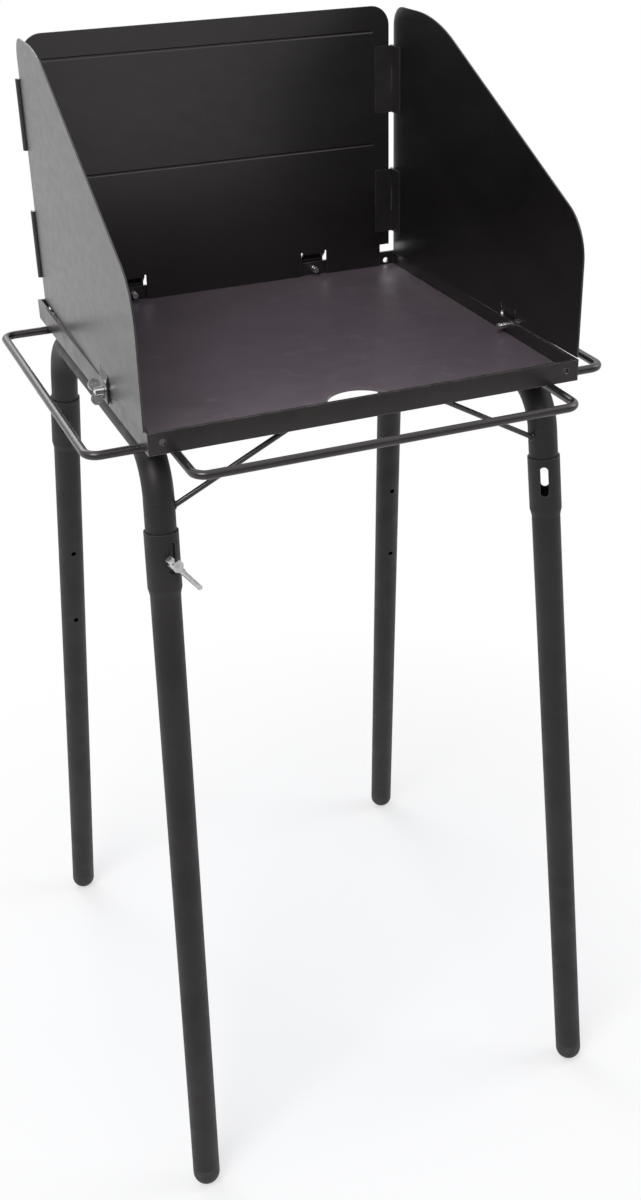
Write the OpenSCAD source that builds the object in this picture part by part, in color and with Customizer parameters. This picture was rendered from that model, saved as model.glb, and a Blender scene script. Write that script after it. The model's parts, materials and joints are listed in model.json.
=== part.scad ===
// Camp cooking table: a square steel tray on two bent tube frames with sliding lower legs,
// rod racks on three sides and a fold-flat windscreen held by wing screws.
// Origin on the ground in the middle between the feet. X to the right, Y to the back, Z up.

/* [Tray] */
// Outside width of the tray, left to right
tray_w = 410; // [340:1:500]
// Outside depth of the tray, front to back
tray_d = 400; // [330:1:490]
// Height of the tray's rim above the ground
rim_h = 838; // [690:1:1010]
// Height of the tray's upright walls
wall_h = 20; // [18:0.5:24]
// Thickness of the walls and of the ledge
wall_t = 3; // [2:0.5:4]
// Width of the ledge that carries the floor plate, wall included
ledge_w = 20; // [16:1:26]
// Radius of the small holes near the ends of the front and rear walls
corner_hole_r = 3; // [2:0.5:4]
// Distance of those holes from the tray's side
corner_hole_in = 13; // [10:1:20]
// Distance of those holes below the rim
corner_hole_down = 9.5; // [7:0.5:11]

/* [Floor plate] */
// Thickness of the floor plate
plate_t = 3; // [2:0.5:4]
// Gap between the plate's edge and the wall
plate_clear = 0.5; // [0.3:0.1:2]
// Radius of the half-moon cut-out
moon_r = 30; // [20:1:45]
// Distance of the cut-out's centre behind the tray's front
moon_back = 28; // [24:1:40]

/* [Windscreen] */
// Height of the windscreen above the rim
screen_h = 261; // [215:1:320]
// Thickness of the sheet
sheet_t = 1.5; // [1:0.1:2]
// Gap between the sheet and the tray wall
screen_gap = 2.5; // [1.5:0.1:4]
// Gap between the back panel and the plate, the wings and the rim, and the tabs and the wall
seat_gap = 0.3; // [0.2:0.1:0.5]
// Radius of the back panel's upper corners and of the wings' rear ones
top_corner_r = 20; // [5:1:40]
// Width of the notch in the back panel's lower corners
notch_w = 10; // [5:1:15]
// Height of the notch above the rim
notch_top = 10; // [5:1:18]
// Height of the lower pressed crease above the rim
crease_low = 121; // [100:1:145]
// Height of the upper pressed crease above the rim
crease_high = 236; // [225:1:240]
// Depth of a crease
crease_depth = 0.8; // [0.4:0.1:1.2]
// Inner radius of a crease
crease_r = 2; // [1.5:0.1:3]
// Distance of a crease's end from the hinge leaf
crease_in = 2; // [1:0.5:10]
// Gap between the wings' front edge and the tray's front wall
wing_front_gap = 1; // [0.5:0.5:9]
// Angle by which the wings open outward in degrees
wing_flare = 1.1; // [0:0.1:1.3]
// Height above the rim where the wing's slope would meet its front edge
wing_front_h = 119; // [100:1:135]
// Slope of the wing's upper edge in degrees
wing_slope = 26; // [22:0.5:27]
// Radius that blends the slope into the level top
wing_top_r = 182; // [100:1:200]
// Radius that blends the slope into the front edge
wing_front_r = 51; // [20:1:60]

/* [Tabs] */
// Width of a tab
tab_w = 26; // [20:1:32]
// Width of the relief slits beside a tab
relief_w = 2; // [1.5:0.5:3]
// Height of the relief slits above the rim
relief_top = 12.5; // [12:0.5:16]
// Height above the rim where the tab's outward jog begins
jog_top = 11; // [10:0.5:12]
// Height above the rim where the jog ends
jog_low = 4; // [3:0.5:5]
// Length of the tab below the rim
tab_drop = 16; // [14:0.5:18]
// Gap around the wing screw's shank in the tab's slot, per side
slot_clear = 0.5; // [0.3:0.1:1]
// Distance of the back tabs from the middle
back_tab_x = 103.5; // [70:0.5:130]
// Distance of the side tabs in front of the middle
side_tab_y = 68; // [20:1:100]

/* [Wing screws] */
// Radius of the wing screw's shank
screw_r = 3; // [2:0.5:3]
// Distance of the screws' axis below the rim
screw_down = 7; // [6.5:0.5:8]
// Length of shank inside the tray wall
screw_inside = 10; // [6:1:12]
// Distance between the tips of the wings
wing_span = 24; // [20:1:24]
// Radius of a wing's rounded lobe
lobe_r = 5.5; // [4:0.5:6]
// Thickness of the wings
lobe_t = 2.5; // [2:0.5:3]
// Radius of the screw's hub
hub_r = 4.5; // [4:0.5:5]
// Length of the screw's hub
hub_h = 8; // [6:1:10]
// Angle of the wings from upright in degrees
wing_turn = 25; // [0:5:90]

/* [Hinges] */
// Height of a hinge
hinge_h = 68; // [50:1:75]
// Height of the lower hinges' lower end above the rim
hinge_low = 25; // [20:1:40]
// Height of the upper hinges' lower end above the rim
hinge_high = 153; // [145:1:160]
// Width of a hinge leaf, from the pin's middle to its edge
leaf_w = 22; // [14:1:26]
// Thickness of a hinge leaf
leaf_t = 1.2; // [1:0.1:1.4]
// Radius of the knuckles
knuckle_r = 3; // [2.4:0.1:3.2]
// Radius of the hinge pin
pin_r = 1.5; // [1:0.1:1.6]
// Distance of the back panel's and the wings' edges from the corner where they would meet
corner_gap = 3.8; // [2.5:0.1:5]
// Gap between neighbouring knuckles, and between a leaf and the other's knuckle
knuckle_side = 0.3; // [0.2:0.1:0.5]
// Gap around the pin in the knuckles, per side
pin_fit = 0.05; // [0.01:0.01:0.1]

/* [Tube frames] */
// Radius of the tube
tube_r = 14; // [12:0.5:16]
// Wall of the tube
tube_wall = 1.6; // [1.2:0.1:2.4]
// Bend radius at the tube's middle
bend_r = 48; // [36:1:60]
// Distance of the tube's run inside the tray's side
rail_in = 16.2; // [14:0.1:20]
// Distance of the frame's front corner behind the tray's front
corner_front = 38; // [30:0.5:50]
// Distance of the frame's rear corner before the tray's back
corner_back = 26.5; // [22:0.5:40]
// Outward splay of the legs in degrees
splay = 2.34; // [0:0.01:4]
// Forward lean of the front legs in degrees
lean_front = 6.2; // [0:0.1:9]
// Backward lean of the rear legs in degrees
lean_back = 7.6; // [0:0.1:9]
// Length of the frame's end from its corner down along the leg
end_len = 110.8; // [105:0.1:112]

/* [Lower legs] */
// Running gap between the frame's end and the collar, per side
slide_fit = 0.05; // [0.01:0.01:0.1]
// Distance from the corner to the collar's upper edge
collar_at = 71; // [64:0.5:72]
// Length of the collar's straight part
collar_len = 53.5; // [52:0.5:60]
// Length of the taper below the collar
taper_len = 7; // [5:0.5:12]
// Distance from the corner to the middle of the adjusting slot
slot_at = 93; // [92:0.5:95]
// Length of the slot
slot_len = 30; // [26:1:34]
// Width of the slot
slot_w = 8; // [7:0.5:10]
// Distance from the corner to the upper small hole on the leg's inner side
leg_hole_1 = 265; // [240:1:300]
// Distance from the corner to the lower small hole
leg_hole_2 = 358; // [330:1:400]
// Radius of those holes
leg_hole_r = 3; // [2:0.5:4]

/* [Foot caps] */
// Height of the cap's straight band above its dome
cap_band = 8; // [4:1:16]
// Length of the plug inside the leg
plug_len = 22; // [12:1:40]
// Gap between the plug and the tube, per side
plug_fit = 0.05; // [0.01:0.01:0.1]

/* [Clamp screws] */
// Distance from the frame's corner to the clamp screw's axis, down along the leg
screw_at = 98.3; // [95:0.1:99]
// Radius of the clamp screw's shank
clamp_r = 3; // [2.5:0.5:3]
// Gap around the shank in the nut, per side
thread_fit = 0.05; // [0.01:0.01:0.1]
// Radius of the clamp screw's head
clamp_head_r = 5.5; // [5:0.5:7]
// Length of the clamp screw's head
clamp_head_h = 9; // [8:0.5:12]
// Gap between the head and the collar
clamp_gap = 0.4; // [0.3:0.1:0.8]
// Radius of the cross bar
bar_r = 2.5; // [2:0.25:3]
// Radius of the cross bar's thick part
bar_thick_r = 3.3; // [3:0.1:4]
// Length of the cross bar on its short side
bar_short = 10; // [8:1:14]
// Length of the cross bar on its long side
bar_long = 36; // [26:1:44]
// Gap between the cross bar's thick parts and the head
bar_clear = 0.4; // [0.3:0.1:0.8]
// Distance between the nut's flats
nut_flats = 10; // [9:0.5:10]
// Height of the nut
nut_h = 5; // [4:0.5:6]
// Turn of the front left leg's screw about the leg, from the front, in degrees
clamp_turn_front = 16; // [0:1:40]
// Turn of the rear legs' screws about the leg, from the front, in degrees
clamp_turn_back = 164; // [140:1:180]
// Turn of the front right leg's empty slot, from the front, in degrees
empty_turn = -30; // [-40:1:40]
// Angle of the front left cross bar below level in degrees
bar_drop_front_left = 49; // [-90:1:90]
// Angle of the rear left cross bar below level in degrees
bar_drop_back_left = -37; // [-90:1:90]
// Angle of the rear right cross bar below level in degrees
bar_drop_back_right = 90; // [-90:1:90]

/* [Racks and braces] */
// Radius of the rack rods
rod_r = 4; // [3:0.5:5]
// Bend radius of the rack's corners
rack_bend = 12; // [8:1:16]
// Distance of the side racks' rod from the tray
side_reach = 45; // [30:1:60]
// Distance between the arms of a side rack
side_span = 340; // [310:1:342]
// Distance of the front rack's rod from the tray
front_reach = 47; // [30:1:60]
// Distance between the arms of the front rack
front_span = 358; // [280:1:362]
// Length of the rack's arms under the ledge
rack_tail = 18; // [12:1:19]
// Radius of the brace rods
brace_r = 2.5; // [2:0.5:4]
// Distance from the corner to the brace, down along the leg
brace_at = 57; // [54:0.5:60]
// Distance of the brace's upper end from the tray's middle
brace_x = 75; // [50:1:110]
// Distance of the brace's upper end inside the tray's front or back
brace_in = 13; // [8:1:16]

/* [Hidden] */
$fn = 48;
cut = 1;                                   // how far a cutter runs past a face
tray_z = rim_h - wall_h;                   // underside of the tray
plate_z = tray_z + wall_t;                 // underside of the floor plate
floor_z = plate_z + plate_t;               // top of the floor plate
wall_x = tray_w / 2 - wall_t;              // inner face of the side walls
wall_y = tray_d / 2 - wall_t;              // inner face of the front and rear walls
wing_x = wall_x - screen_gap - sheet_t;    // inner face of the wings
back_y = wall_y - screen_gap - sheet_t;    // inner face of the back panel
screen_z = floor_z + seat_gap;             // lower edge of the back panel
top_z = rim_h + screen_h;                  // upper edge of the windscreen
pin_x = wing_x - leaf_t + knuckle_r;       // hinge axis, outside the corner
pin_y = back_y - leaf_t + knuckle_r;
third = hinge_h / 3;                       // length of a knuckle
back_edge = wing_x - corner_gap;
wing_edge = back_y - corner_gap;
wing_front = wing_front_gap - wall_y;
back_tab_out = sheet_t + screen_gap + wall_t + seat_gap;
// Inner face of the opened wing at its tab, and how far that tab stands out from it.
side_tab_x = pin_x - (pin_x - wing_x) / cos(wing_flare) + (pin_y + side_tab_y) * tan(wing_flare);
side_tab_out = max(seat_gap, tray_w / 2 - side_tab_x + seat_gap + tab_w / 2 * tan(wing_flare));
bore_r = tube_r - tube_wall;
collar_bore = tube_r + slide_fit;
collar_r = collar_bore + tube_wall;
rail_x = tray_w / 2 - rail_in;
rail_z = tray_z - tube_r;
front_y = -tray_d / 2 + corner_front;
rear_y = tray_d / 2 - corner_back;
front_tangent = bend_r * tan((90 - lean_front) / 2);
rear_tangent = bend_r * tan((90 - lean_back) / 2);
bend_draw = 0.1;                           // how much thinner the tube is in its bends
bend_lap = 0.5;                            // how far the straight tube runs into a bend
rack_z = tray_z - rod_r;
screw_z = rim_h - screw_down;
head_at = collar_r + clamp_gap;            // clamp screw's head from the leg's axis
bar_at = head_at + clamp_head_h / 2;
nut_at = sqrt(pow(bore_r, 2) - pow(nut_flats / sqrt(3), 2)) - nut_h - thread_fit;
// How far the middle between the feet lies behind the middle of the tray.
mid_y = (front_y - foot_at(false) * sin(lean_front) + rear_y + foot_at(true) * sin(lean_back)) / 2;
steel = [0.17, 0.16, 0.16];
zinc = [0.76, 0.77, 0.79];
rubber = [0.09, 0.09, 0.1];

// Children hang down a leg: local -Z runs along the leg from the frame's corner.
module on_leg(side, rear) {
  lean = rear ? lean_back : -lean_front;
  translate([side * rail_x, rear ? rear_y : front_y, rail_z])
    rotate([0, -side * splay, 0])
      rotate([lean, 0, 0]) children();
}

// The tube frame's route as a solid rod of radius r, its ends longer by extra. The straight
// pieces lap over the slightly drawn-in bends.
module frame_route(side, r, extra) {
  start = front_y + front_tangent;
  stop = rear_y - rear_tangent;
  translate([side * rail_x, 0, rail_z]) rotate([0, -side * splay, 0]) {
    translate([0, start - bend_lap, 0]) rotate([-90, 0, 0])
      cylinder(h = stop - start + 2 * bend_lap, r = r);
    translate([0, start, -bend_r]) rotate([180, -90, 0])
      rotate_extrude(angle = 90 - lean_front) translate([bend_r, 0]) circle(r = r - bend_draw);
    translate([0, stop, -bend_r]) rotate([0, -90, 0])
      rotate_extrude(angle = 90 - lean_back) translate([bend_r, 0]) circle(r = r - bend_draw);
  }
  on_leg(side, false) translate([0, 0, -end_len - extra])
    cylinder(h = end_len + extra - front_tangent + bend_lap, r = r);
  on_leg(side, true) translate([0, 0, -end_len - extra])
    cylinder(h = end_len + extra - rear_tangent + bend_lap, r = r);
}

// The hole for a clamp screw through the outer side of the frame's end.
module clamp_hole(side, rear, turn) {
  on_clamp(side, rear, turn) cylinder(h = tube_r + cut, r = clamp_r + thread_fit);
}

// The open-ended slot through both sides of the frame's end where no screw is fitted.
module clamp_slot(side, rear, turn) {
  on_leg(side, rear) rotate([0, 0, turn]) translate([-slot_w / 2, -tube_r - cut, -end_len - cut])
    cube([slot_w, 2 * (tube_r + cut), end_len - slot_at + slot_len / 2 + cut]);
}

module left_tube_frame() {
  color(steel) difference() {
    frame_route(-1, tube_r, 0);
    frame_route(-1, bore_r, cut);
    clamp_hole(-1, false, clamp_turn_front);
    clamp_hole(-1, true, clamp_turn_back);
  }
}

module right_tube_frame() {
  color(steel) difference() {
    frame_route(1, tube_r, 0);
    frame_route(1, bore_r, cut);
    clamp_slot(1, false, empty_turn);
    clamp_hole(1, true, clamp_turn_back);
  }
}

// Length of a leg from the frame's corner to the middle of its foot's dome.
function foot_at(rear) = (rail_z - tube_r) / cos(splay) / cos(rear ? lean_back : lean_front);

// A lower leg: slotted collar, taper, tube and the small holes on its inner side.
module lower_leg(side, rear, turn) {
  leg_end = foot_at(rear) - cap_band;
  neck_at = collar_at + collar_len + taper_len;
  color(steel) on_leg(side, rear)
    difference() {
      rotate_extrude()
        polygon([[collar_bore, -collar_at], [collar_r, -collar_at],
          [collar_r, -collar_at - collar_len], [tube_r, -neck_at], [tube_r, -leg_end],
          [bore_r, -leg_end], [bore_r, -neck_at], [collar_bore, -collar_at - collar_len]]);
      rotate([0, 0, turn]) translate([0, 0, -slot_at]) {
        for (z = [-1, 1])
          translate([0, collar_r + cut, z * (slot_len - slot_w) / 2]) rotate([90, 0, 0])
            cylinder(h = 2 * (collar_r + cut), r = slot_w / 2);
        translate([-slot_w / 2, -collar_r - cut, -(slot_len - slot_w) / 2])
          cube([slot_w, 2 * (collar_r + cut), slot_len - slot_w]);
      }
      for (s = [leg_hole_1, leg_hole_2])
        translate([0, 0, -s]) rotate([rear ? 90 : -90, 0, 0])
          cylinder(h = tube_r + cut, r = leg_hole_r);
    }
}

module foot_cap(side, rear) {
  dome = foot_at(rear);
  color(rubber) on_leg(side, rear) union() {
    translate([0, 0, -dome]) sphere(r = tube_r);
    translate([0, 0, -dome]) cylinder(h = cap_band, r = tube_r);
    translate([0, 0, -dome]) cylinder(h = cap_band + plug_len, r = bore_r - plug_fit);
  }
}

// Children sit on a clamp screw's axis: local Z points out of the collar.
module on_clamp(side, rear, turn) {
  on_leg(side, rear) rotate([0, 0, turn]) translate([0, 0, -screw_at]) rotate([90, 0, 0]) children();
}

module clamp_screw(side, rear, turn, drop) {
  color(zinc) on_clamp(side, rear, turn) difference() {
    union() {
      translate([0, 0, nut_at - cut]) cylinder(h = head_at - nut_at + 2 * cut, r = clamp_r);
      translate([0, 0, head_at]) cylinder(h = clamp_head_h, r = clamp_head_r);
    }
    translate([0, 0, bar_at]) rotate([0, 90, -drop]) translate([0, 0, -clamp_head_r - cut])
      cylinder(h = 2 * (clamp_head_r + cut), r = bar_r + thread_fit);
  }
}

module clamp_bar(side, rear, turn, drop) {
  thick_at = clamp_head_r + bar_clear;
  color(zinc) on_clamp(side, rear, turn) translate([0, 0, bar_at]) rotate([0, 90, -drop]) {
    translate([0, 0, -bar_short]) cylinder(h = bar_short + bar_long, r = bar_r);
    translate([0, 0, -bar_short]) cylinder(h = bar_short - thick_at, r = bar_thick_r);
    translate([0, 0, thick_at]) cylinder(h = bar_short - thick_at, r = bar_thick_r);
    translate([0, 0, bar_long]) sphere(r = bar_r);
  }
}

module clamp_nuts() {
  color(zinc)
    for (p = [[-1, false, clamp_turn_front], [-1, true, clamp_turn_back], [1, true, clamp_turn_back]])
      on_clamp(p[0], p[1], p[2]) translate([0, 0, nut_at]) difference() {
        intersection_for (a = [0, 60, 120])
          rotate([0, 0, a]) translate([-nut_flats, -nut_flats / 2, 0])
            cube([2 * nut_flats, nut_flats, nut_h]);
        translate([0, 0, -cut]) cylinder(h = nut_h + 2 * cut, r = clamp_r + thread_fit);
      }
}

// Every piece is drawn about the tray's middle and set down about the feet's.
module centred() {
  translate([0, -mid_y, 0]) children();
}

// Tray
module tray_frame() {
  color(steel) difference() {
    translate([-tray_w / 2, -tray_d / 2, tray_z]) cube([tray_w, tray_d, wall_h]);
    translate([-wall_x, -wall_y, plate_z]) cube([2 * wall_x, 2 * wall_y, wall_h]);
    translate([ledge_w - tray_w / 2, ledge_w - tray_d / 2, tray_z - cut])
      cube([tray_w - 2 * ledge_w, tray_d - 2 * ledge_w, wall_h]);
    for (x = [-1, 1]) {
      translate([x * (tray_w / 2 - corner_hole_in), tray_d / 2 + cut, rim_h - corner_hole_down])
        rotate([90, 0, 0]) cylinder(h = tray_d + 2 * cut, r = corner_hole_r);
      translate([x * back_tab_x, tray_d / 2 + cut, screw_z]) rotate([90, 0, 0])
        cylinder(h = wall_t + 2 * cut, r = screw_r + thread_fit);
    }
    translate([-tray_w / 2 - cut, -side_tab_y, screw_z]) rotate([0, 90, 0])
      cylinder(h = tray_w + 2 * cut, r = screw_r + thread_fit);
  }
}

module floor_plate() {
  edge_x = wall_x - plate_clear;
  edge_y = wall_y - plate_clear;
  moon_y = moon_back - tray_d / 2;
  color(steel) difference() {
    translate([-edge_x, -edge_y, plate_z]) cube([2 * edge_x, 2 * edge_y, plate_t]);
    translate([0, moon_y, plate_z - cut]) cylinder(h = plate_t + 2 * cut, r = moon_r);
    translate([-moon_r, -tray_d / 2, plate_z - cut])
      cube([2 * moon_r, moon_back, plate_t + 2 * cut]);
  }
}

// A U of rod lying flat: its arms run along X from behind the origin out to the long bar.
module u_rod(span, reach, tail) {
  for (s = [-1, 1]) {
    translate([-tail, s * span / 2, 0]) rotate([0, 90, 0])
      cylinder(h = tail + reach - rack_bend, r = rod_r);
    translate([reach - rack_bend, s * (span / 2 - rack_bend), 0]) rotate([0, 0, s > 0 ? 0 : -90])
      rotate_extrude(angle = 90) translate([rack_bend, 0]) circle(r = rod_r);
  }
  translate([reach, rack_bend - span / 2, 0]) rotate([-90, 0, 0])
    cylinder(h = span - 2 * rack_bend, r = rod_r);
}

module side_rack(side) {
  color(steel) translate([side * tray_w / 2, 0, rack_z]) rotate([0, 0, side > 0 ? 0 : 180])
    u_rod(side_span, side_reach, rack_tail);
}

module front_rack() {
  color(steel) translate([0, -tray_d / 2, rack_z]) rotate([0, 0, -90])
    u_rod(front_span, front_reach, rack_tail);
}

// A brace rod from the frame's end up to the ledge, trimmed where it meets both.
module brace(side, rear) {
  lean = rear ? lean_back : -lean_front;
  end = rear ? 1 : -1;
  foot = [side * (rail_x + brace_at * sin(splay) * cos(lean)),
    (rear ? rear_y : front_y) + brace_at * sin(lean),
    rail_z - brace_at * cos(splay) * cos(lean)];
  head = [side * brace_x, end * (tray_d / 2 - brace_in), tray_z - brace_r];
  run = head - foot;
  flat = norm([run[0], run[1]]);
  color(steel) difference() {
    translate(foot) rotate([0, atan2(flat, run[2]), atan2(run[1], run[0])])
      cylinder(h = norm(run), r = brace_r);
    on_leg(side, rear) translate([0, 0, -end_len]) cylinder(h = end_len, r = tube_r);
    translate([-tray_w / 2, -tray_d / 2, tray_z]) cube([tray_w, tray_d, wall_h]);
  }
}

// Windscreen
// The bent strip of a tab in section: outward runs along X, height above the rim along Y.
module tab_section(out) {
  bend = sheet_t * tan(atan(out / (jog_top - jog_low)) / 2);
  polygon([[0, jog_top], [sheet_t, jog_top], [out + sheet_t, jog_low], [out + sheet_t, -tab_drop],
    [out, -tab_drop], [out, jog_low - bend], [0, jog_top - bend]]);
}

// A tab that stands out from the origin's face, centred on Y, with its open-ended slot.
module tab(out) {
  slot_r = screw_r + slot_clear;
  difference() {
    translate([0, tab_w / 2, 0]) rotate([90, 0, 0]) linear_extrude(height = tab_w) tab_section(out);
    translate([out - cut, 0, -screw_down]) rotate([0, 90, 0])
      cylinder(h = sheet_t + 2 * cut, r = slot_r);
    translate([out - cut, -slot_r, -tab_drop - cut])
      cube([sheet_t + 2 * cut, 2 * slot_r, tab_drop + cut - screw_down]);
  }
}

// The window that a tab leaves in its panel.
module tab_window() {
  low = screen_z - rim_h - cut;
  translate([-cut, -tab_w / 2 - relief_w, low])
    cube([sheet_t + 2 * cut, tab_w + 2 * relief_w, jog_top - low]);
  for (s = [-1, 1])
    translate([-cut, s * (tab_w + relief_w) / 2 - relief_w / 2, low])
      cube([sheet_t + 2 * cut, relief_w, relief_top - low]);
}

// Children sit on the inner face of a panel at rim height: X out through the panel.
module on_back(x) {
  translate([x, back_y, rim_h]) rotate([0, 0, 90]) children();
}

// A rod along X that presses a crease into the back panel from inside.
module crease(height, r) {
  len = 2 * (pin_x - leaf_w - crease_in);
  translate([-len / 2, back_y + crease_depth - crease_r, rim_h + height])
    rotate([0, 90, 0]) cylinder(h = len, r = r);
}

// A plate with one rounded corner's waste: what lies outside the corner's circle.
module corner_waste(r, t) {
  difference() {
    cube([r + cut, t, r + cut]);
    translate([0, -cut, 0]) rotate([-90, 0, 0]) cylinder(h = t + 2 * cut, r = r);
  }
}

module back_panel() {
  thick = sheet_t + 2 * cut;
  color(steel) difference() {
    union() {
      difference() {
        translate([-back_edge, back_y, screen_z])
          cube([2 * back_edge, sheet_t, top_z - screen_z]);
        for (s = [-1, 1]) {
          on_back(s * back_tab_x) tab_window();
          translate([s * (back_edge - notch_w / 2) - notch_w / 2 - cut, back_y - cut, screen_z - cut])
            cube([notch_w + 2 * cut, thick, rim_h + notch_top - screen_z + cut]);
          translate([s * (back_edge - top_corner_r), back_y - cut, top_z - top_corner_r])
            mirror([s > 0 ? 0 : 1, 0, 0]) corner_waste(top_corner_r, thick);
        }
      }
      for (s = [-1, 1])
        on_back(s * back_tab_x) tab(back_tab_out);
      for (h = [crease_low, crease_high])
        difference() {
          crease(h, crease_r + sheet_t);
          translate([-tray_w / 2, back_y - tray_d, rim_h]) cube([tray_w, tray_d, screen_h]);
        }
    }
    for (h = [crease_low, crease_high])
      crease(h, crease_r);
  }
}

// What a blend of radius r cuts from the wing where two edges meet at point p: the edges
// leave p at angles a and b.
module blend_waste(p, a, b, r) {
  half = (b - a) / 2;
  reach = r / tan(half);
  mid = a + half;
  difference() {
    translate([p[0], p[1], -cut]) linear_extrude(height = sheet_t + 2 * cut)
      polygon([[0, 0], reach * [cos(a), sin(a)], reach * [cos(b), sin(b)]]);
    translate([p[0] + r / sin(half) * cos(mid), p[1] + r / sin(half) * sin(mid), -2 * cut])
      cylinder(h = sheet_t + 4 * cut, r = r);
  }
}

// The wing's sheet, drawn with depth along X and height above the rim along Y. It stands on
// the rim.
module wing_sheet() {
  slope_end = wing_front + (screen_h - wing_front_h) / tan(wing_slope);
  difference() {
    linear_extrude(height = sheet_t)
      polygon([[wing_front, seat_gap], [wing_edge, seat_gap], [wing_edge, screen_h],
        [slope_end, screen_h], [wing_front, wing_front_h]]);
    blend_waste([slope_end, screen_h], -180 + wing_slope, 0, wing_top_r);
    blend_waste([wing_front, wing_front_h], -90, wing_slope, wing_front_r);
    blend_waste([wing_edge, screen_h], 180, 270, top_corner_r);
  }
}

// Children are turned outward about the hinge pins, as an opened wing is.
module flared() {
  translate([pin_x, pin_y, 0]) rotate([0, 0, wing_flare]) translate([-pin_x, -pin_y, 0]) children();
}

module wing(side) {
  color(steel) mirror([side > 0 ? 0 : 1, 0, 0]) flared() translate([wing_x, 0, rim_h]) {
    difference() {
      rotate([90, 0, 90]) wing_sheet();
      translate([0, -side_tab_y, 0]) tab_window();
    }
    translate([0, -side_tab_y, 0]) tab(side_tab_out);
  }
}

// Hinges
// Children sit on one side's hinge axis, once at the lower and once at the upper hinge.
module on_hinges(side) {
  mirror([side > 0 ? 0 : 1, 0, 0])
    for (z = [hinge_low, hinge_high])
      translate([pin_x, pin_y, rim_h + z]) children();
}

// A stretch of the knuckle's round, from one height to another.
module knuckle(from, to, r) {
  translate([0, 0, from]) cylinder(h = to - from, r = r);
}

// A back panel's leaf: it lies on the panel's inner face and ends in the outer two knuckles.
module back_leaf() {
  difference() {
    union() {
      translate([-leaf_w, -knuckle_r, 0]) cube([leaf_w, leaf_t, hinge_h]);
      knuckle(0, third - knuckle_side, knuckle_r);
      knuckle(2 * third + knuckle_side, hinge_h, knuckle_r);
    }
    translate([-knuckle_r - knuckle_side, -knuckle_r - cut, third - knuckle_side])
      cube([2 * knuckle_r + cut, 2 * (knuckle_r + cut), third + 2 * knuckle_side]);
    knuckle(-cut, hinge_h + cut, pin_r + pin_fit);
  }
}

// A wing's leaf: cut away beside the back leaf's knuckles, it ends in the middle one.
module wing_leaf() {
  difference() {
    union() {
      translate([-knuckle_r, -leaf_w, 0]) cube([leaf_t, leaf_w, hinge_h]);
      knuckle(third, 2 * third, knuckle_r);
    }
    for (z = [-cut, 2 * third])
      translate([-knuckle_r - cut, -knuckle_r - knuckle_side, z])
        cube([2 * (knuckle_r + cut), 2 * knuckle_r + cut, third + cut]);
    knuckle(-cut, hinge_h + cut, pin_r + pin_fit);
  }
}

module back_leaves(side) {
  color(steel) on_hinges(side) back_leaf();
}

module wing_leaves(side) {
  color(steel) on_hinges(side) rotate([0, 0, wing_flare]) wing_leaf();
}

module hinge_pins(side) {
  color(zinc) on_hinges(side) knuckle(0, hinge_h, pin_r);
}

// A wing screw standing on the tab's outer face, its shank running back through the wall.
module wing_screw() {
  shank = seat_gap + sheet_t + seat_gap + wall_t + screw_inside;
  lobe_x = wing_span / 2 - lobe_r;
  lobe_z = hub_h - cut;
  color(zinc) {
    translate([0, 0, -shank]) cylinder(h = shank + cut, r = screw_r);
    cylinder(h = hub_h, r = hub_r);
    rotate([90, 0, wing_turn]) translate([0, 0, -lobe_t / 2]) {
      for (s = [-1, 1])
        translate([s * lobe_x, lobe_z, 0]) cylinder(h = lobe_t, r = lobe_r);
      translate([-lobe_x, lobe_z - lobe_r, 0]) cube([2 * lobe_x, lobe_r, lobe_t]);
    }
  }
}

module side_wing_screw(side) {
  translate([side * (side_tab_x + side_tab_out + sheet_t + seat_gap), -side_tab_y, screw_z])
    rotate([0, side * 90, 0]) wing_screw();
}

module back_wing_screw(side) {
  translate([side * back_tab_x, back_y + back_tab_out + sheet_t + seat_gap, screw_z])
    rotate([-90, 0, 0]) wing_screw();
}

centred() tray_frame();
centred() floor_plate();
centred() left_tube_frame();
centred() right_tube_frame();
centred() lower_leg(-1, false, clamp_turn_front);  // front_left_leg
centred() lower_leg(1, false, empty_turn);  // front_right_leg
centred() lower_leg(-1, true, clamp_turn_back);  // rear_left_leg
centred() lower_leg(1, true, clamp_turn_back);  // rear_right_leg
centred() foot_cap(-1, false);  // front_left_foot
centred() foot_cap(1, false);  // front_right_foot
centred() foot_cap(-1, true);  // rear_left_foot
centred() foot_cap(1, true);  // rear_right_foot
centred() clamp_screw(-1, false, clamp_turn_front, bar_drop_front_left);  // front_left_clamp_screw
centred() clamp_screw(-1, true, clamp_turn_back, bar_drop_back_left);  // rear_left_clamp_screw
centred() clamp_screw(1, true, clamp_turn_back, bar_drop_back_right);  // rear_right_clamp_screw
centred() clamp_bar(-1, false, clamp_turn_front, bar_drop_front_left);  // front_left_clamp_bar
centred() clamp_bar(-1, true, clamp_turn_back, bar_drop_back_left);  // rear_left_clamp_bar
centred() clamp_bar(1, true, clamp_turn_back, bar_drop_back_right);  // rear_right_clamp_bar
centred() clamp_nuts();
centred() side_rack(-1);  // left_rack
centred() side_rack(1);  // right_rack
centred() front_rack();
centred() brace(-1, false);  // front_left_brace
centred() brace(1, false);  // front_right_brace
centred() brace(-1, true);  // rear_left_brace
centred() brace(1, true);  // rear_right_brace
centred() back_panel();
centred() wing(-1);  // left_wing
centred() wing(1);  // right_wing
centred() back_leaves(-1);  // left_back_leaves
centred() back_leaves(1);  // right_back_leaves
centred() wing_leaves(-1);  // left_wing_leaves
centred() wing_leaves(1);  // right_wing_leaves
centred() hinge_pins(-1);  // left_hinge_pins
centred() hinge_pins(1);  // right_hinge_pins
centred() back_wing_screw(-1);  // back_left_wing_screw
centred() back_wing_screw(1);  // back_right_wing_screw
centred() side_wing_screw(-1);  // left_wing_screw
centred() side_wing_screw(1);  // right_wing_screw
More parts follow.
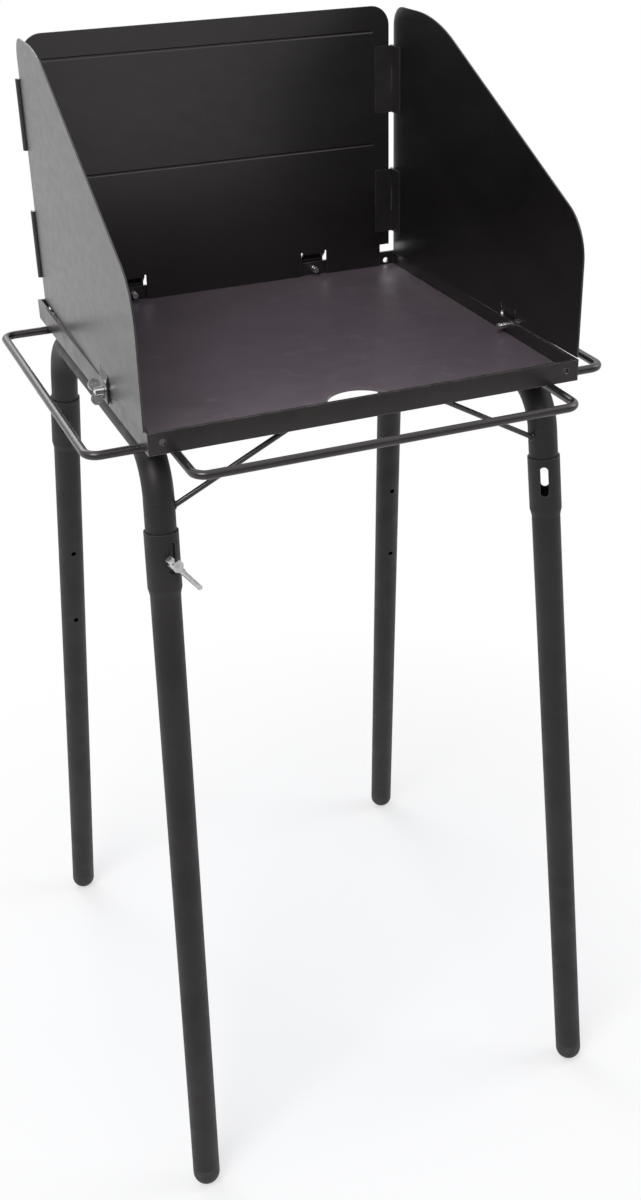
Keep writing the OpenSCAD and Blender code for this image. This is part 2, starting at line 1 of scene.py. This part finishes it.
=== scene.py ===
import json
import math
import bpy
import bmesh
from mathutils import Matrix, Vector, noise
from mathutils.bvhtree import BVHTree


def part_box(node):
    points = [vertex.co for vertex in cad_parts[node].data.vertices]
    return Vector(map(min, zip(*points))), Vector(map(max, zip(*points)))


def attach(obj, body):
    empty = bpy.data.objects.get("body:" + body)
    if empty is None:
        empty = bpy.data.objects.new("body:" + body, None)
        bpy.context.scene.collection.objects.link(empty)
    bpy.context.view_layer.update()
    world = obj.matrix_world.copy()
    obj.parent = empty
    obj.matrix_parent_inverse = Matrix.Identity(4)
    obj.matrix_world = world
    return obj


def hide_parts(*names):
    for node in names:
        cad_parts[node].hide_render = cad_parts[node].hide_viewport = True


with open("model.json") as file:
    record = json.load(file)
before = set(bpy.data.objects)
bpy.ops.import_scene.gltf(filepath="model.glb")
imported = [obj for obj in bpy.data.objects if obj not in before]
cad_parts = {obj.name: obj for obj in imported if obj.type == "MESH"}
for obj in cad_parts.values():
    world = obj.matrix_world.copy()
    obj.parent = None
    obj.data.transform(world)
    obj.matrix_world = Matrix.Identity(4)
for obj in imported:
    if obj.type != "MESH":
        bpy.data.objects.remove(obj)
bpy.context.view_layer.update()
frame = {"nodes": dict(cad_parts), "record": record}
nodes = frame["nodes"]


# Materials. Every length is in metres, and a noise scale is in cells per metre.

COAT_SPECULAR = (1.0, 0.945, 0.945, 1)  # the coatings' reflection is slightly warm
RUBBED_LIFT = 1.4                       # how much lighter a rubbed patch is
WORN_AND_HIGHLIT_WIDTH = 0.0009                     # how far a finish is worn, and lightened as a painted highlight, in from a sharp edge
WORN_AND_HIGHLIT_SAMPLES = 6


def tree(name, color, metallic=0.0, ior=1.5):
    """A new material, its node tree, its principled shader and its object coordinates."""
    mat = bpy.data.materials.new(name)
    mat.use_nodes = True
    nt = mat.node_tree
    shader = nt.nodes["Principled BSDF"]
    shader.inputs["Base Color"].default_value = (*color, 1)
    shader.inputs["Metallic"].default_value = metallic
    shader.inputs["IOR"].default_value = ior
    coord = nt.nodes.new("ShaderNodeTexCoord")
    return mat, nt, shader, coord.outputs["Object"]


def grain(nt, coord, scale, detail, stretch=(1, 1, 1), rough=0.5):
    """A noise value over the object, its grain squeezed along the axes given."""
    mapping = nt.nodes.new("ShaderNodeMapping")
    mapping.inputs["Scale"].default_value = stretch
    tex = nt.nodes.new("ShaderNodeTexNoise")
    tex.inputs["Scale"].default_value = scale
    tex.inputs["Detail"].default_value = detail
    tex.inputs["Roughness"].default_value = rough
    nt.links.new(coord, mapping.inputs["Vector"])
    nt.links.new(mapping.outputs["Vector"], tex.inputs["Vector"])
    return tex.outputs["Fac"]


def spread(nt, value, low, high, at=(0.35, 0.65)):
    """Goes from low to high as the value goes through the range at, and stays level outside it."""
    node = nt.nodes.new("ShaderNodeMapRange")
    node.inputs["From Min"].default_value = at[0]
    node.inputs["From Max"].default_value = at[1]
    node.inputs["To Min"].default_value = low
    node.inputs["To Max"].default_value = high
    nt.links.new(value, node.inputs["Value"])
    return node.outputs["Result"]


def combine(nt, operation, first, second):
    """A maths node over two values."""
    node = nt.nodes.new("ShaderNodeMath")
    node.operation = operation
    nt.links.new(first, node.inputs[0])
    nt.links.new(second, node.inputs[1])
    return node.outputs[0]


def mixed(nt, value, base, over):
    """The base, a plain or a linked colour, going over to the plain colour over by the value."""
    node = nt.nodes.new("ShaderNodeMix")
    node.data_type = "RGBA"
    if isinstance(base, tuple):
        node.inputs["A"].default_value = (*base, 1)
    else:
        nt.links.new(base, node.inputs["A"])
    node.inputs["B"].default_value = (*over, 1)
    nt.links.new(value, node.inputs["Factor"])
    return node.outputs["Result"]


def bump(nt, shader, height, strength, depth, before=None):
    """Bumps on the shader by a height value, on top of those of an earlier bump."""
    node = nt.nodes.new("ShaderNodeBump")
    node.inputs["Strength"].default_value = strength
    node.inputs["Distance"].default_value = depth
    nt.links.new(height, node.inputs["Height"])
    if before is not None:
        nt.links.new(before, node.inputs["Normal"])
    nt.links.new(node.outputs["Normal"], shader.inputs["Normal"])
    return node.outputs["Normal"]


def worn_and_highlit_edges(nt, coord):
    """1 in patches along the sharp edges, where the finish has rubbed thin and where a lighter
    colour stands in as a painted highlight, and 0 elsewhere.
    """
    rounded = nt.nodes.new("ShaderNodeBevel")
    rounded.samples = WORN_AND_HIGHLIT_SAMPLES
    rounded.inputs["Radius"].default_value = WORN_AND_HIGHLIT_WIDTH
    true = nt.nodes.new("ShaderNodeNewGeometry")
    along = nt.nodes.new("ShaderNodeVectorMath")
    along.operation = "DOT_PRODUCT"
    nt.links.new(rounded.outputs["Normal"], along.inputs[0])
    nt.links.new(true.outputs["Normal"], along.inputs[1])
    edge = spread(nt, along.outputs["Value"], 1, 0, at=(0.80, 0.98))
    patch = grain(nt, coord, scale=120, detail=4, rough=0.6)
    return combine(nt, "MULTIPLY", edge, spread(nt, patch, 0.35, 1, at=(0.42, 0.60)))


def coated(name, dark, light, ior, rough, peel, stretch=(1, 1, 1), bare_and_highlight=(0.10, 0.095, 0.095)):
    """A coating on steel: cloudy tint, rubbed patches, worn edges that also carry a painted
    highlight, uneven gloss and a fine peel.
    """
    mat, nt, shader, coord = tree(name, dark, ior=ior)
    shader.inputs["Specular Tint"].default_value = COAT_SPECULAR
    cloud = grain(nt, coord, scale=14, detail=4, stretch=stretch)
    rubbed = grain(nt, coord, scale=55, detail=6, stretch=stretch, rough=0.7)
    rubbed = spread(nt, rubbed, 0, 1, at=(0.58, 0.74))
    tint = mixed(nt, spread(nt, cloud, 0, 1), dark, light)
    tint = mixed(nt, rubbed, tint, [RUBBED_LIFT * c for c in light])
    # The lighter bare colour along the edges is partly wear and partly a painted highlight.
    tint = mixed(nt, worn_and_highlit_edges(nt, coord), tint, bare_and_highlight)
    nt.links.new(tint, shader.inputs["Base Color"])
    gloss = grain(nt, coord, scale=60, detail=5, stretch=stretch)
    nt.links.new(spread(nt, gloss, *rough), shader.inputs["Roughness"])
    waves = bump(nt, shader, grain(nt, coord, scale=160, detail=2), strength=0.10, depth=2 * peel)
    fine = grain(nt, coord, scale=1100, detail=2)
    bump(nt, shader, fine, strength=0.35, depth=peel, before=waves)
    return mat


def pitted(name, color, dark, light, rough, scales, details, strength, depth, metallic=0.0):
    """A finish with clouds, uneven gloss and pits, which have the three scales and details."""
    mat, nt, shader, coord = tree(name, color, metallic)
    clouds, gloss, pits = (grain(nt, coord, *kind) for kind in zip(scales, details))
    tint = mixed(nt, spread(nt, clouds, 0, 1), dark, light)
    nt.links.new(tint, shader.inputs["Base Color"])
    nt.links.new(spread(nt, gloss, *rough), shader.inputs["Roughness"])
    bump(nt, shader, pits, strength, depth)
    return mat


TUBE = coated("powder_coated_tube", dark=(0.012, 0.011, 0.011), light=(0.019, 0.0175, 0.0175),
              ior=1.44, rough=(0.48, 0.58), peel=0.00005)
# The tray's bare edge colour is the lightest: a painted highlight along its rim, on top of wear.
TRAY = coated("blackened_tray", dark=(0.014, 0.0125, 0.012), light=(0.021, 0.018, 0.0175),
              ior=1.52, rough=(0.27, 0.35), peel=0.00004, bare_and_highlight=(0.22, 0.20, 0.195))
ROD = coated("blackened_rod", dark=(0.013, 0.012, 0.0115), light=(0.020, 0.018, 0.0175),
             ior=1.62, rough=(0.24, 0.32), peel=0.00003)
SHEET = coated("windscreen_black", dark=(0.0045, 0.0040, 0.0040), light=(0.0075, 0.0068, 0.0068),
               ior=1.74, rough=(0.29, 0.33), peel=0.00002, stretch=(1, 1, 2))
HINGE = coated("hinge_black", dark=(0.013, 0.012, 0.012), light=(0.022, 0.020, 0.020),
               ior=1.60, rough=(0.32, 0.42), peel=0.00003)
PLATE = coated("oiled_plate", dark=(0.090, 0.071, 0.085), light=(0.101, 0.080, 0.096),
               ior=1.60, rough=(0.36, 0.42), peel=0.00002, bare_and_highlight=(0.16, 0.14, 0.15))
ZINC = pitted("zinc_plate", (0.72, 0.72, 0.73), dark=(0.60, 0.60, 0.61), light=(0.82, 0.82, 0.83),
              rough=(0.15, 0.28), scales=(260, 900, 2500), details=(4, 3, 2), strength=0.35,
              depth=0.00003, metallic=1.0)
RUBBER = pitted("foot_rubber", (0.018, 0.018, 0.019), dark=(0.014, 0.014, 0.015),
                light=(0.030, 0.029, 0.029), rough=(0.5, 0.7), scales=(90, 300, 1100),
                details=(4, 3, 3), strength=0.5, depth=0.0001)

FINISH = {
    "blackened_steel": TUBE,
    "oiled_plate": PLATE,
    "sheet_steel": SHEET,
    "hinge_steel": HINGE,
    "zinc": ZINC,
    "foot_rubber": RUBBER,
}
SLOT_OF = {s["node"]: s["material_slot"] for s in frame["record"]["subparts"]}
for name, obj in nodes.items():
    obj.data.materials.clear()
    finish = FINISH[SLOT_OF[name]]
    # One slot, three finishes: the tray and the rods are smoother than the tubes.
    if name == "tray_frame":
        finish = TRAY
    elif name.endswith(("_rack", "_brace")):
        finish = ROD
    obj.data.materials.append(finish)


# Wings

SAME = 0.00002                          # vertices this close are one
FIN_TIP_Y = (0.075, 0.085)              # the hair-thin fin on each wing's slope ends between these
FIN_BACK = (0.00072, -0.0376, -0.01834)  # from the fin's tip to the curve's lower end, x outward


def without_fin(side, name):
    """The wing's own sheet, with the fin on its front slope drawn back to the curve's lower end."""
    back = Vector((side * FIN_BACK[0], FIN_BACK[1], FIN_BACK[2]))
    mesh = nodes[name].data.copy()
    bm = bmesh.new()
    bm.from_mesh(mesh)
    bmesh.ops.remove_doubles(bm, verts=bm.verts, dist=SAME)
    top = max(v.co.z for v in bm.verts) - SAME
    tips = [v for v in bm.verts if v.co.z > top and FIN_TIP_Y[0] < v.co.y < FIN_TIP_Y[1]]
    others = [v.co.copy() for v in bm.verts if v not in tips]
    for tip in tips:
        tip.co = min(others, key=lambda co: (co - tip.co - back).length)
    bmesh.ops.remove_doubles(bm, verts=bm.verts, dist=SAME)
    bmesh.ops.dissolve_degenerate(bm, dist=SAME, edges=bm.edges)
    bm.to_mesh(mesh)
    bm.free()
    piece = bpy.data.objects.new(name + "_sheet", mesh)
    bpy.context.collection.objects.link(piece)
    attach(piece, "windscreen")
    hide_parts(name)


without_fin(-1, "left_wing")
without_fin(1, "right_wing")


# Making of the added pieces

def new_piece(name, bm, material, body):
    """A smooth piece from the bmesh, which it frees, riding on the body."""
    bmesh.ops.recalc_face_normals(bm, faces=bm.faces)
    mesh = bpy.data.meshes.new(name)
    bm.to_mesh(mesh)
    bm.free()
    for face in mesh.polygons:
        face.use_smooth = True
    mesh.materials.append(material)
    piece = bpy.data.objects.new(name, mesh)
    bpy.context.collection.objects.link(piece)
    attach(piece, body)


def circle(turn, first, second):
    """The point at a turn of the circle that two vectors at right angles span."""
    return math.cos(turn) * first + math.sin(turn) * second


def evenly(path, step):
    """The polyline's points at an even step, with both ends."""
    points = [Vector(p) for p in path]
    lengths = [(b - a).length for a, b in zip(points, points[1:])]
    count = max(3, round(sum(lengths) / step))
    result = []
    for i in range(count + 1):
        left = sum(lengths) * i / count
        for a, b, length in zip(points, points[1:], lengths):
            if left <= length or b is points[-1]:
                result.append(a.lerp(b, min(1, left / length)))
                break
            left -= length
    return result


def strip(bm, a, b):
    """Faces between two rings of as many vertices."""
    for k in range(len(a)):
        after = (k + 1) % len(a)
        bm.faces.new((a[k], a[after], b[after], b[k]))


def tube(bm, points, radius_at, sides, closed=False):
    """A round tube along the points, one ring at each, its radius by the ring's number."""
    count = len(points)
    rings = []
    normal = None
    for i, point in enumerate(points):
        ahead = points[(i + 1) % count] if closed or i + 1 < count else point
        behind = points[i - 1] if closed or i > 0 else point
        tangent = (ahead - behind).normalized()
        if normal is None:
            normal = tangent.orthogonal().normalized()
        normal = (normal - normal.dot(tangent) * tangent).normalized()
        across = tangent.cross(normal)
        rings.append([
            bm.verts.new(point + radius_at(i) * circle(2 * math.pi * k / sides, normal, across))
            for k in range(sides)])
    pairs = list(zip(rings, rings[1:]))
    if closed:
        # The last ring joins the first at the turn where they lie nearest.
        near = min(range(sides), key=lambda k: (rings[0][k].co - rings[-1][0].co).length)
        pairs.append((rings[-1], rings[0][near:] + rings[0][:near]))
    for a, b in pairs:
        strip(bm, a, b)
    if not closed:
        bm.faces.new(rings[0])
        bm.faces.new(rings[-1])


def surface(name):
    """A node's surface, for rays to meet."""
    mesh = nodes[name].data
    return BVHTree.FromPolygons([v.co for v in mesh.vertices], [f.vertices for f in mesh.polygons])


# Weld beads. Places are from the tray's middle, x outward, and in the mitres y outward too.

TRAY_Y = -0.0155517              # the tray's middle
UNDER = 0.818                    # the ledge's underside
ROD_R = 0.004                    # a rack's rod
BRACE_R = 0.0025                 # a brace's rod

BEAD_SIDES = 8
BEAD_STEP = 0.45                 # between a bead's rings, in its radii
BEAD_RIPPLE = 0.12               # of its radius, and as much again for its uneven width
RIPPLE_RINGS = 4                 # rings from one ripple to the next
UNEVEN_SCALE = 400
TAPER_FROM = 0.35                # the width of an open bead's end ring, and what each next adds
TAPER_STEP = 0.25

ARM_BEAD_R = 0.0011
BESIDE_ROD = 0.72                # from a rod's middle to the bead along it, in the rod's radii
SIDE_ARM_Y = (-0.170, 0.170)     # the side racks' arms
SIDE_ARM_X = (0.1885, 0.2030)    # their beads' ends
FRONT_ARM_X = 0.179              # the front rack's arms
FRONT_ARM_Y = (-0.1842, -0.1975)

RAIL_BEAD_R = 0.0013
RAIL_X = 0.1888                  # a tube frame's rail, where it meets the ledge
RAIL_BEADS = ((0.0052, 0.0011), (-0.0036, 0.0009))  # outward from there, and below the ledge
STITCH_Y = (-0.095, 0.005, 0.105)
STITCH_ENDS = (-0.014, 0.014)

MITRE_BEAD_R = 0.0009
MITRE = (0.2018, 0.1968)         # x and y of the walls' inner corner
MITRE_Z = (0.8245, 0.8368)
LEDGE_BEAD_R = 0.0008
LEDGE_MITRE = ((0.1865, 0.1815), (0.2035, 0.1985))  # x and y of its bead's ends

BRACE_BEAD_R = 0.0012
BRACE_BEAD_STEPS = 28
ROD_END = 0.03                   # a brace's vertices this near its tip make up its end
RAY_BACK = 0.03                  # where the rays that find the bead's place start, up the brace
RAY_REACH = 0.08


def weld(bm, path, radius, closed=False):
    """A weld bead: ripples along its run, an uneven width, and ends that taper off."""
    points = evenly(path, radius * BEAD_STEP)
    if closed:
        points.pop()
    last = len(points) - 1

    def radius_at(i):
        ripple = 1 - BEAD_RIPPLE + BEAD_RIPPLE * abs(math.cos(i * math.pi / RIPPLE_RINGS))
        uneven = 1 + BEAD_RIPPLE * noise.noise(points[i] * UNEVEN_SCALE)
        end = 1 if closed else min(1, TAPER_FROM + TAPER_STEP * min(i, last - i))
        return radius * ripple * uneven * end

    tube(bm, points, radius_at, BEAD_SIDES, closed)


def arm_beads(bm, side):
    """Along both sides of the racks' arms, under the ledge."""
    z = UNDER - ARM_BEAD_R
    for middle_y in SIDE_ARM_Y:
        for edge in (-1, 1):
            y = TRAY_Y + middle_y + edge * ROD_R * BESIDE_ROD
            weld(bm, [(side * x, y, z) for x in SIDE_ARM_X], ARM_BEAD_R)
    for edge in (-1, 1):
        x = side * FRONT_ARM_X + edge * ROD_R * BESIDE_ROD
        weld(bm, [(x, TRAY_Y + y, z) for y in FRONT_ARM_Y], ARM_BEAD_R)


def rail_stitches(bm, side):
    """Short beads between a tube frame's rail and the ledge."""
    for middle_y in STITCH_Y:
        for out, drop in RAIL_BEADS:
            x = side * (RAIL_X + out)
            weld(bm, [(x, TRAY_Y + middle_y + y, UNDER - drop) for y in STITCH_ENDS], RAIL_BEAD_R)


def mitre_beads(bm, side):
    """Down each inner corner above the plate, and across the ledge's underside."""
    for end in (-1, 1):
        x, y = MITRE
        weld(bm, [(side * x, TRAY_Y + end * y, z) for z in MITRE_Z], MITRE_BEAD_R)
        weld(bm, [(side * x, TRAY_Y + end * y, UNDER) for x, y in LEDGE_MITRE], LEDGE_BEAD_R)


def rod_end(bm, tip):
    """The middle of a rod's vertices near its tip."""
    near = [v.co for v in bm.verts if (v.co - tip).length < ROD_END]
    middle = sum(near, Vector())
    middle /= len(near)
    return middle


def brace_bead(bm, brace, target):
    """Round a brace's lower end, where it runs into the target."""
    rod = bmesh.new()
    rod.from_mesh(nodes[brace].data)
    foot = rod_end(rod, min(rod.verts, key=lambda v: v.co.z).co)
    head = rod_end(rod, max(rod.verts, key=lambda v: v.co.z).co)
    rod.free()
    down = (foot - head).normalized()
    across = down.orthogonal().normalized()
    path = []
    for i in range(BRACE_BEAD_STEPS + 1):
        ring = BRACE_R * circle(2 * math.pi * i / BRACE_BEAD_STEPS, across, down.cross(across))
        hit = target.ray_cast(foot - RAY_BACK * down + ring, down, RAY_REACH)[0]
        if hit is not None:
            path.append(hit)
    if len(path) == BRACE_BEAD_STEPS + 1:
        weld(bm, path, BRACE_BEAD_R, closed=True)


beads = bmesh.new()
for side in (-1, 1):
    arm_beads(beads, side)
    rail_stitches(beads, side)
    mitre_beads(beads, side)
for corner in ("left", "right"):
    wall = surface(corner + "_tube_frame")
    for end in ("front", "rear"):
        brace_bead(beads, "%s_%s_brace" % (end, corner), wall)
new_piece("weld_beads", beads, TRAY, "table")


# Wing screws' threads

SCREW_Z = 0.831
THREAD_TURNS = 8
THREAD_STEPS = 20                # a turn
THREAD_PITCH = 0.001
THREAD_R = 0.00288
THREAD_START = 0.0006            # from the screw's end
RIDGE_R = 0.0003
RIDGE_TIP_R = 0.0001
RIDGE_TIP = 3                    # rings at each of the ridge's ends
RIDGE_SIDES = 4


def thread(name, body, axis_at, along, inward):
    """A fine helical ridge on a wing screw's inner end. inward is -1 or 1 along the axis."""
    low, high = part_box(name)
    tip = (high if inward > 0 else low)["xyz".index(along)]
    last = THREAD_TURNS * THREAD_STEPS
    points = []
    for i in range(last + 1):
        turn = 2 * math.pi * i / THREAD_STEPS
        run = tip - inward * (THREAD_START + THREAD_PITCH * i / THREAD_STEPS)
        ring = (axis_at[0] + THREAD_R * math.cos(turn), axis_at[1] + THREAD_R * math.sin(turn))
        points.append(Vector((run, *ring)) if along == "x" else Vector((ring[0], run, ring[1])))

    def radius_at(i):
        return RIDGE_R if RIDGE_TIP < i < last - RIDGE_TIP else RIDGE_TIP_R

    bm = bmesh.new()
    tube(bm, points, radius_at, RIDGE_SIDES)
    new_piece(name + "_thread", bm, ZINC, body)


def middle(name, axis):
    """The middle of a node's box along an axis, by the axis's number."""
    low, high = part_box(name)
    return (low[axis] + high[axis]) / 2


for name, body, across, along, inward in (
        ("left_wing_screw", "left_screw", 1, "x", 1),
        ("right_wing_screw", "right_screw", 1, "x", -1),
        ("back_left_wing_screw", "back_left_screw", 0, "y", -1),
        ("back_right_wing_screw", "back_right_screw", 0, "y", -1)):
    thread(name, body, (middle(name, across), SCREW_Z), along, inward)


# Hinge leaves' spot welds

MARK_PROFILE = ((0.0010, 0.00003), (0.0016, 0.00014), (0.0021, 0.00010), (0.0025, -0.00005))
MARK_STEPS = 20
LEAF_Z = (0.863, 0.991)          # the leaves' lower edges
MARK_UP = (0.011, 0.034, 0.057)  # the marks' heights above them
BACK_LEAF_X = 0.1865
WING_LEAF_Y = 0.1815
MARK_RAY_FROM = 0.150            # the rays that find a leaf start inside the windscreen
MARK_RAY_REACH = 0.1


def spot_mark(bm, leaf, start, out):
    """The shallow ring that a spot weld leaves, where a ray against out first meets the leaf."""
    at = leaf.ray_cast(start, -out, MARK_RAY_REACH)[0]
    if at is None:
        return
    first = out.orthogonal().normalized()
    second = out.cross(first)
    turns = [2 * math.pi * k / MARK_STEPS for k in range(MARK_STEPS)]
    rings = [[bm.verts.new(at + height * out + radius * circle(turn, first, second))
              for turn in turns] for radius, height in MARK_PROFILE]
    bm.faces.new(rings[0])
    for a, b in zip(rings, rings[1:]):
        strip(bm, a, b)


marks = bmesh.new()
for side, corner in ((-1, "left"), (1, "right")):
    back_leaf = surface(corner + "_back_leaves")
    wing_leaf = surface(corner + "_wing_leaves")
    for low in LEAF_Z:
        for up in MARK_UP:
            start = Vector((side * BACK_LEAF_X, TRAY_Y + MARK_RAY_FROM, low + up))
            spot_mark(marks, back_leaf, start, Vector((0, -1, 0)))
            start = Vector((side * MARK_RAY_FROM, TRAY_Y + WING_LEAF_Y, low + up))
            spot_mark(marks, wing_leaf, start, Vector((-side, 0, 0)))
new_piece("spot_weld_marks", marks, HINGE, "windscreen")


# Stage, light and camera

WHITE = (1, 1, 1, 1)
FILL_COLOR = (0.93, 0.95, 1.0, 1)
FILL_STRENGTH = 0.55


def full_to_camera(nt, share):
    """1 for camera rays, so that the background stays white, and the share for all others."""
    path = nt.nodes.new("ShaderNodeLightPath")
    return combine(nt, "MAXIMUM", path.outputs["Is Camera Ray"], share)


def shows_background(nt):
    """1 for rays that show the background itself, in view, in a reflection or through glass."""
    path = nt.nodes.new("ShaderNodeLightPath")
    straight = combine(nt, "MAXIMUM", path.outputs["Is Camera Ray"], path.outputs["Is Glossy Ray"])
    return combine(nt, "MAXIMUM", straight, path.outputs["Is Transmission Ray"])


def mix_shaders(nt, share, first, second, output):
    """The second shader by its share, and the first for the rest, as the surface."""
    mix = nt.nodes.new("ShaderNodeMixShader")
    nt.links.new(share, mix.inputs["Fac"])
    nt.links.new(first.outputs[0], mix.inputs[1])
    nt.links.new(second.outputs[0], mix.inputs[2])
    nt.links.new(mix.outputs[0], nt.nodes[output].inputs["Surface"])


def studio_world():
    """A plain fill light, with a white background."""
    world = bpy.data.worlds.new("studio")
    bpy.context.scene.world = world
    world.use_nodes = True
    nt = world.node_tree
    seen = nt.nodes.new("ShaderNodeBackground")
    seen.inputs["Color"].default_value = WHITE
    # Reflections find the studio bright overhead and at the back, and dim at the horizon in front.
    aim = nt.nodes.new("ShaderNodeTexCoord")
    up = nt.nodes.new("ShaderNodeVectorMath")
    up.operation = "DOT_PRODUCT"
    up.inputs[1].default_value = (0, 0.4, 1)
    nt.links.new(aim.outputs["Generated"], up.inputs[0])
    bright = spread(nt, up.outputs["Value"], 0.2, 1.0, at=(-0.1, 0.6))
    nt.links.new(full_to_camera(nt, bright), seen.inputs["Strength"])
    fill = nt.nodes["Background"]
    fill.inputs["Color"].default_value = FILL_COLOR
    fill.inputs["Strength"].default_value = FILL_STRENGTH
    mix_shaders(nt, shows_background(nt), fill, seen, "World Output")


def studio_floor():
    """A pale floor that keeps the object's shadow and is white in the distance."""
    bpy.ops.mesh.primitive_plane_add(size=80)
    floor = bpy.context.object
    floor.name = "floor"
    mat, nt, shader, coord = tree("studio_floor", (0.90, 0.90, 0.90))
    shader.inputs["Roughness"].default_value = 0.9
    shader.inputs["Specular IOR Level"].default_value = 0.1
    glow = nt.nodes.new("ShaderNodeEmission")
    glow.inputs["Color"].default_value = WHITE
    # Reflections find the floor dimmer towards the front.
    split = nt.nodes.new("ShaderNodeSeparateXYZ")
    nt.links.new(coord, split.inputs[0])
    bright = spread(nt, split.outputs["Y"], 0.62, 1.0, at=(-1.4, 0.6))
    nt.links.new(full_to_camera(nt, bright), glow.inputs["Strength"])
    # How much of the floor's white is its own: less round the object, where its shadow falls.
    away = nt.nodes.new("ShaderNodeVectorMath")
    away.operation = "LENGTH"
    nt.links.new(coord, away.inputs[0])
    own = spread(nt, away.outputs["Value"], 0.28, 1.0, at=(0.05, 0.85))
    share = combine(nt, "MULTIPLY", shows_background(nt), own)
    mix_shaders(nt, share, shader, glow, "Material Output")
    floor.data.materials.append(mat)


def softbox(name, at, look, size, power):
    """A rectangular area light at a point, facing another."""
    data = bpy.data.lights.new(name, "AREA")
    data.shape = "RECTANGLE"
    data.size, data.size_y = size
    data.energy = power
    obj = bpy.data.objects.new(name, data)
    bpy.context.collection.objects.link(obj)
    obj.location = at
    obj.rotation_euler = (Vector(look) - Vector(at)).to_track_quat("-Z", "Y").to_euler()


studio_world()
studio_floor()
softbox("key", at=(-1.6, -1.5, 3.0), look=(0, 0, 0.7), size=(1.6, 1.6), power=54)
softbox("side", at=(2.4, -0.6, 2.2), look=(0, 0, 0.6), size=(1.4, 1.8), power=21)
softbox("rear", at=(-0.6, 2.6, 2.6), look=(0, 0, 0.8), size=(2.0, 1.4), power=31)

# The camera's place, view and focal length are solved from the photograph's traced edges.
EYE = (-0.491839, -1.321263, 1.310328)
VIEW = Matrix(((0.925011, 0.203182, -0.321047),
               (-0.379266, 0.443486, -0.812082),
               (-0.022621, 0.872947, 0.487290)))
FOCAL_PX = 1479.918
PHOTO_H = 1200
SENSOR = 36.0
cam_data = bpy.data.cameras.new("camera")
cam_data.sensor_fit = "VERTICAL"
cam_data.sensor_height = SENSOR
cam_data.lens = FOCAL_PX / PHOTO_H * SENSOR
camera = bpy.data.objects.new("camera", cam_data)
bpy.context.collection.objects.link(camera)
camera.matrix_world = Matrix.Translation(EYE) @ VIEW.to_4x4()
bpy.context.scene.camera = camera
bpy.context.scene.view_settings.view_transform = "Standard"
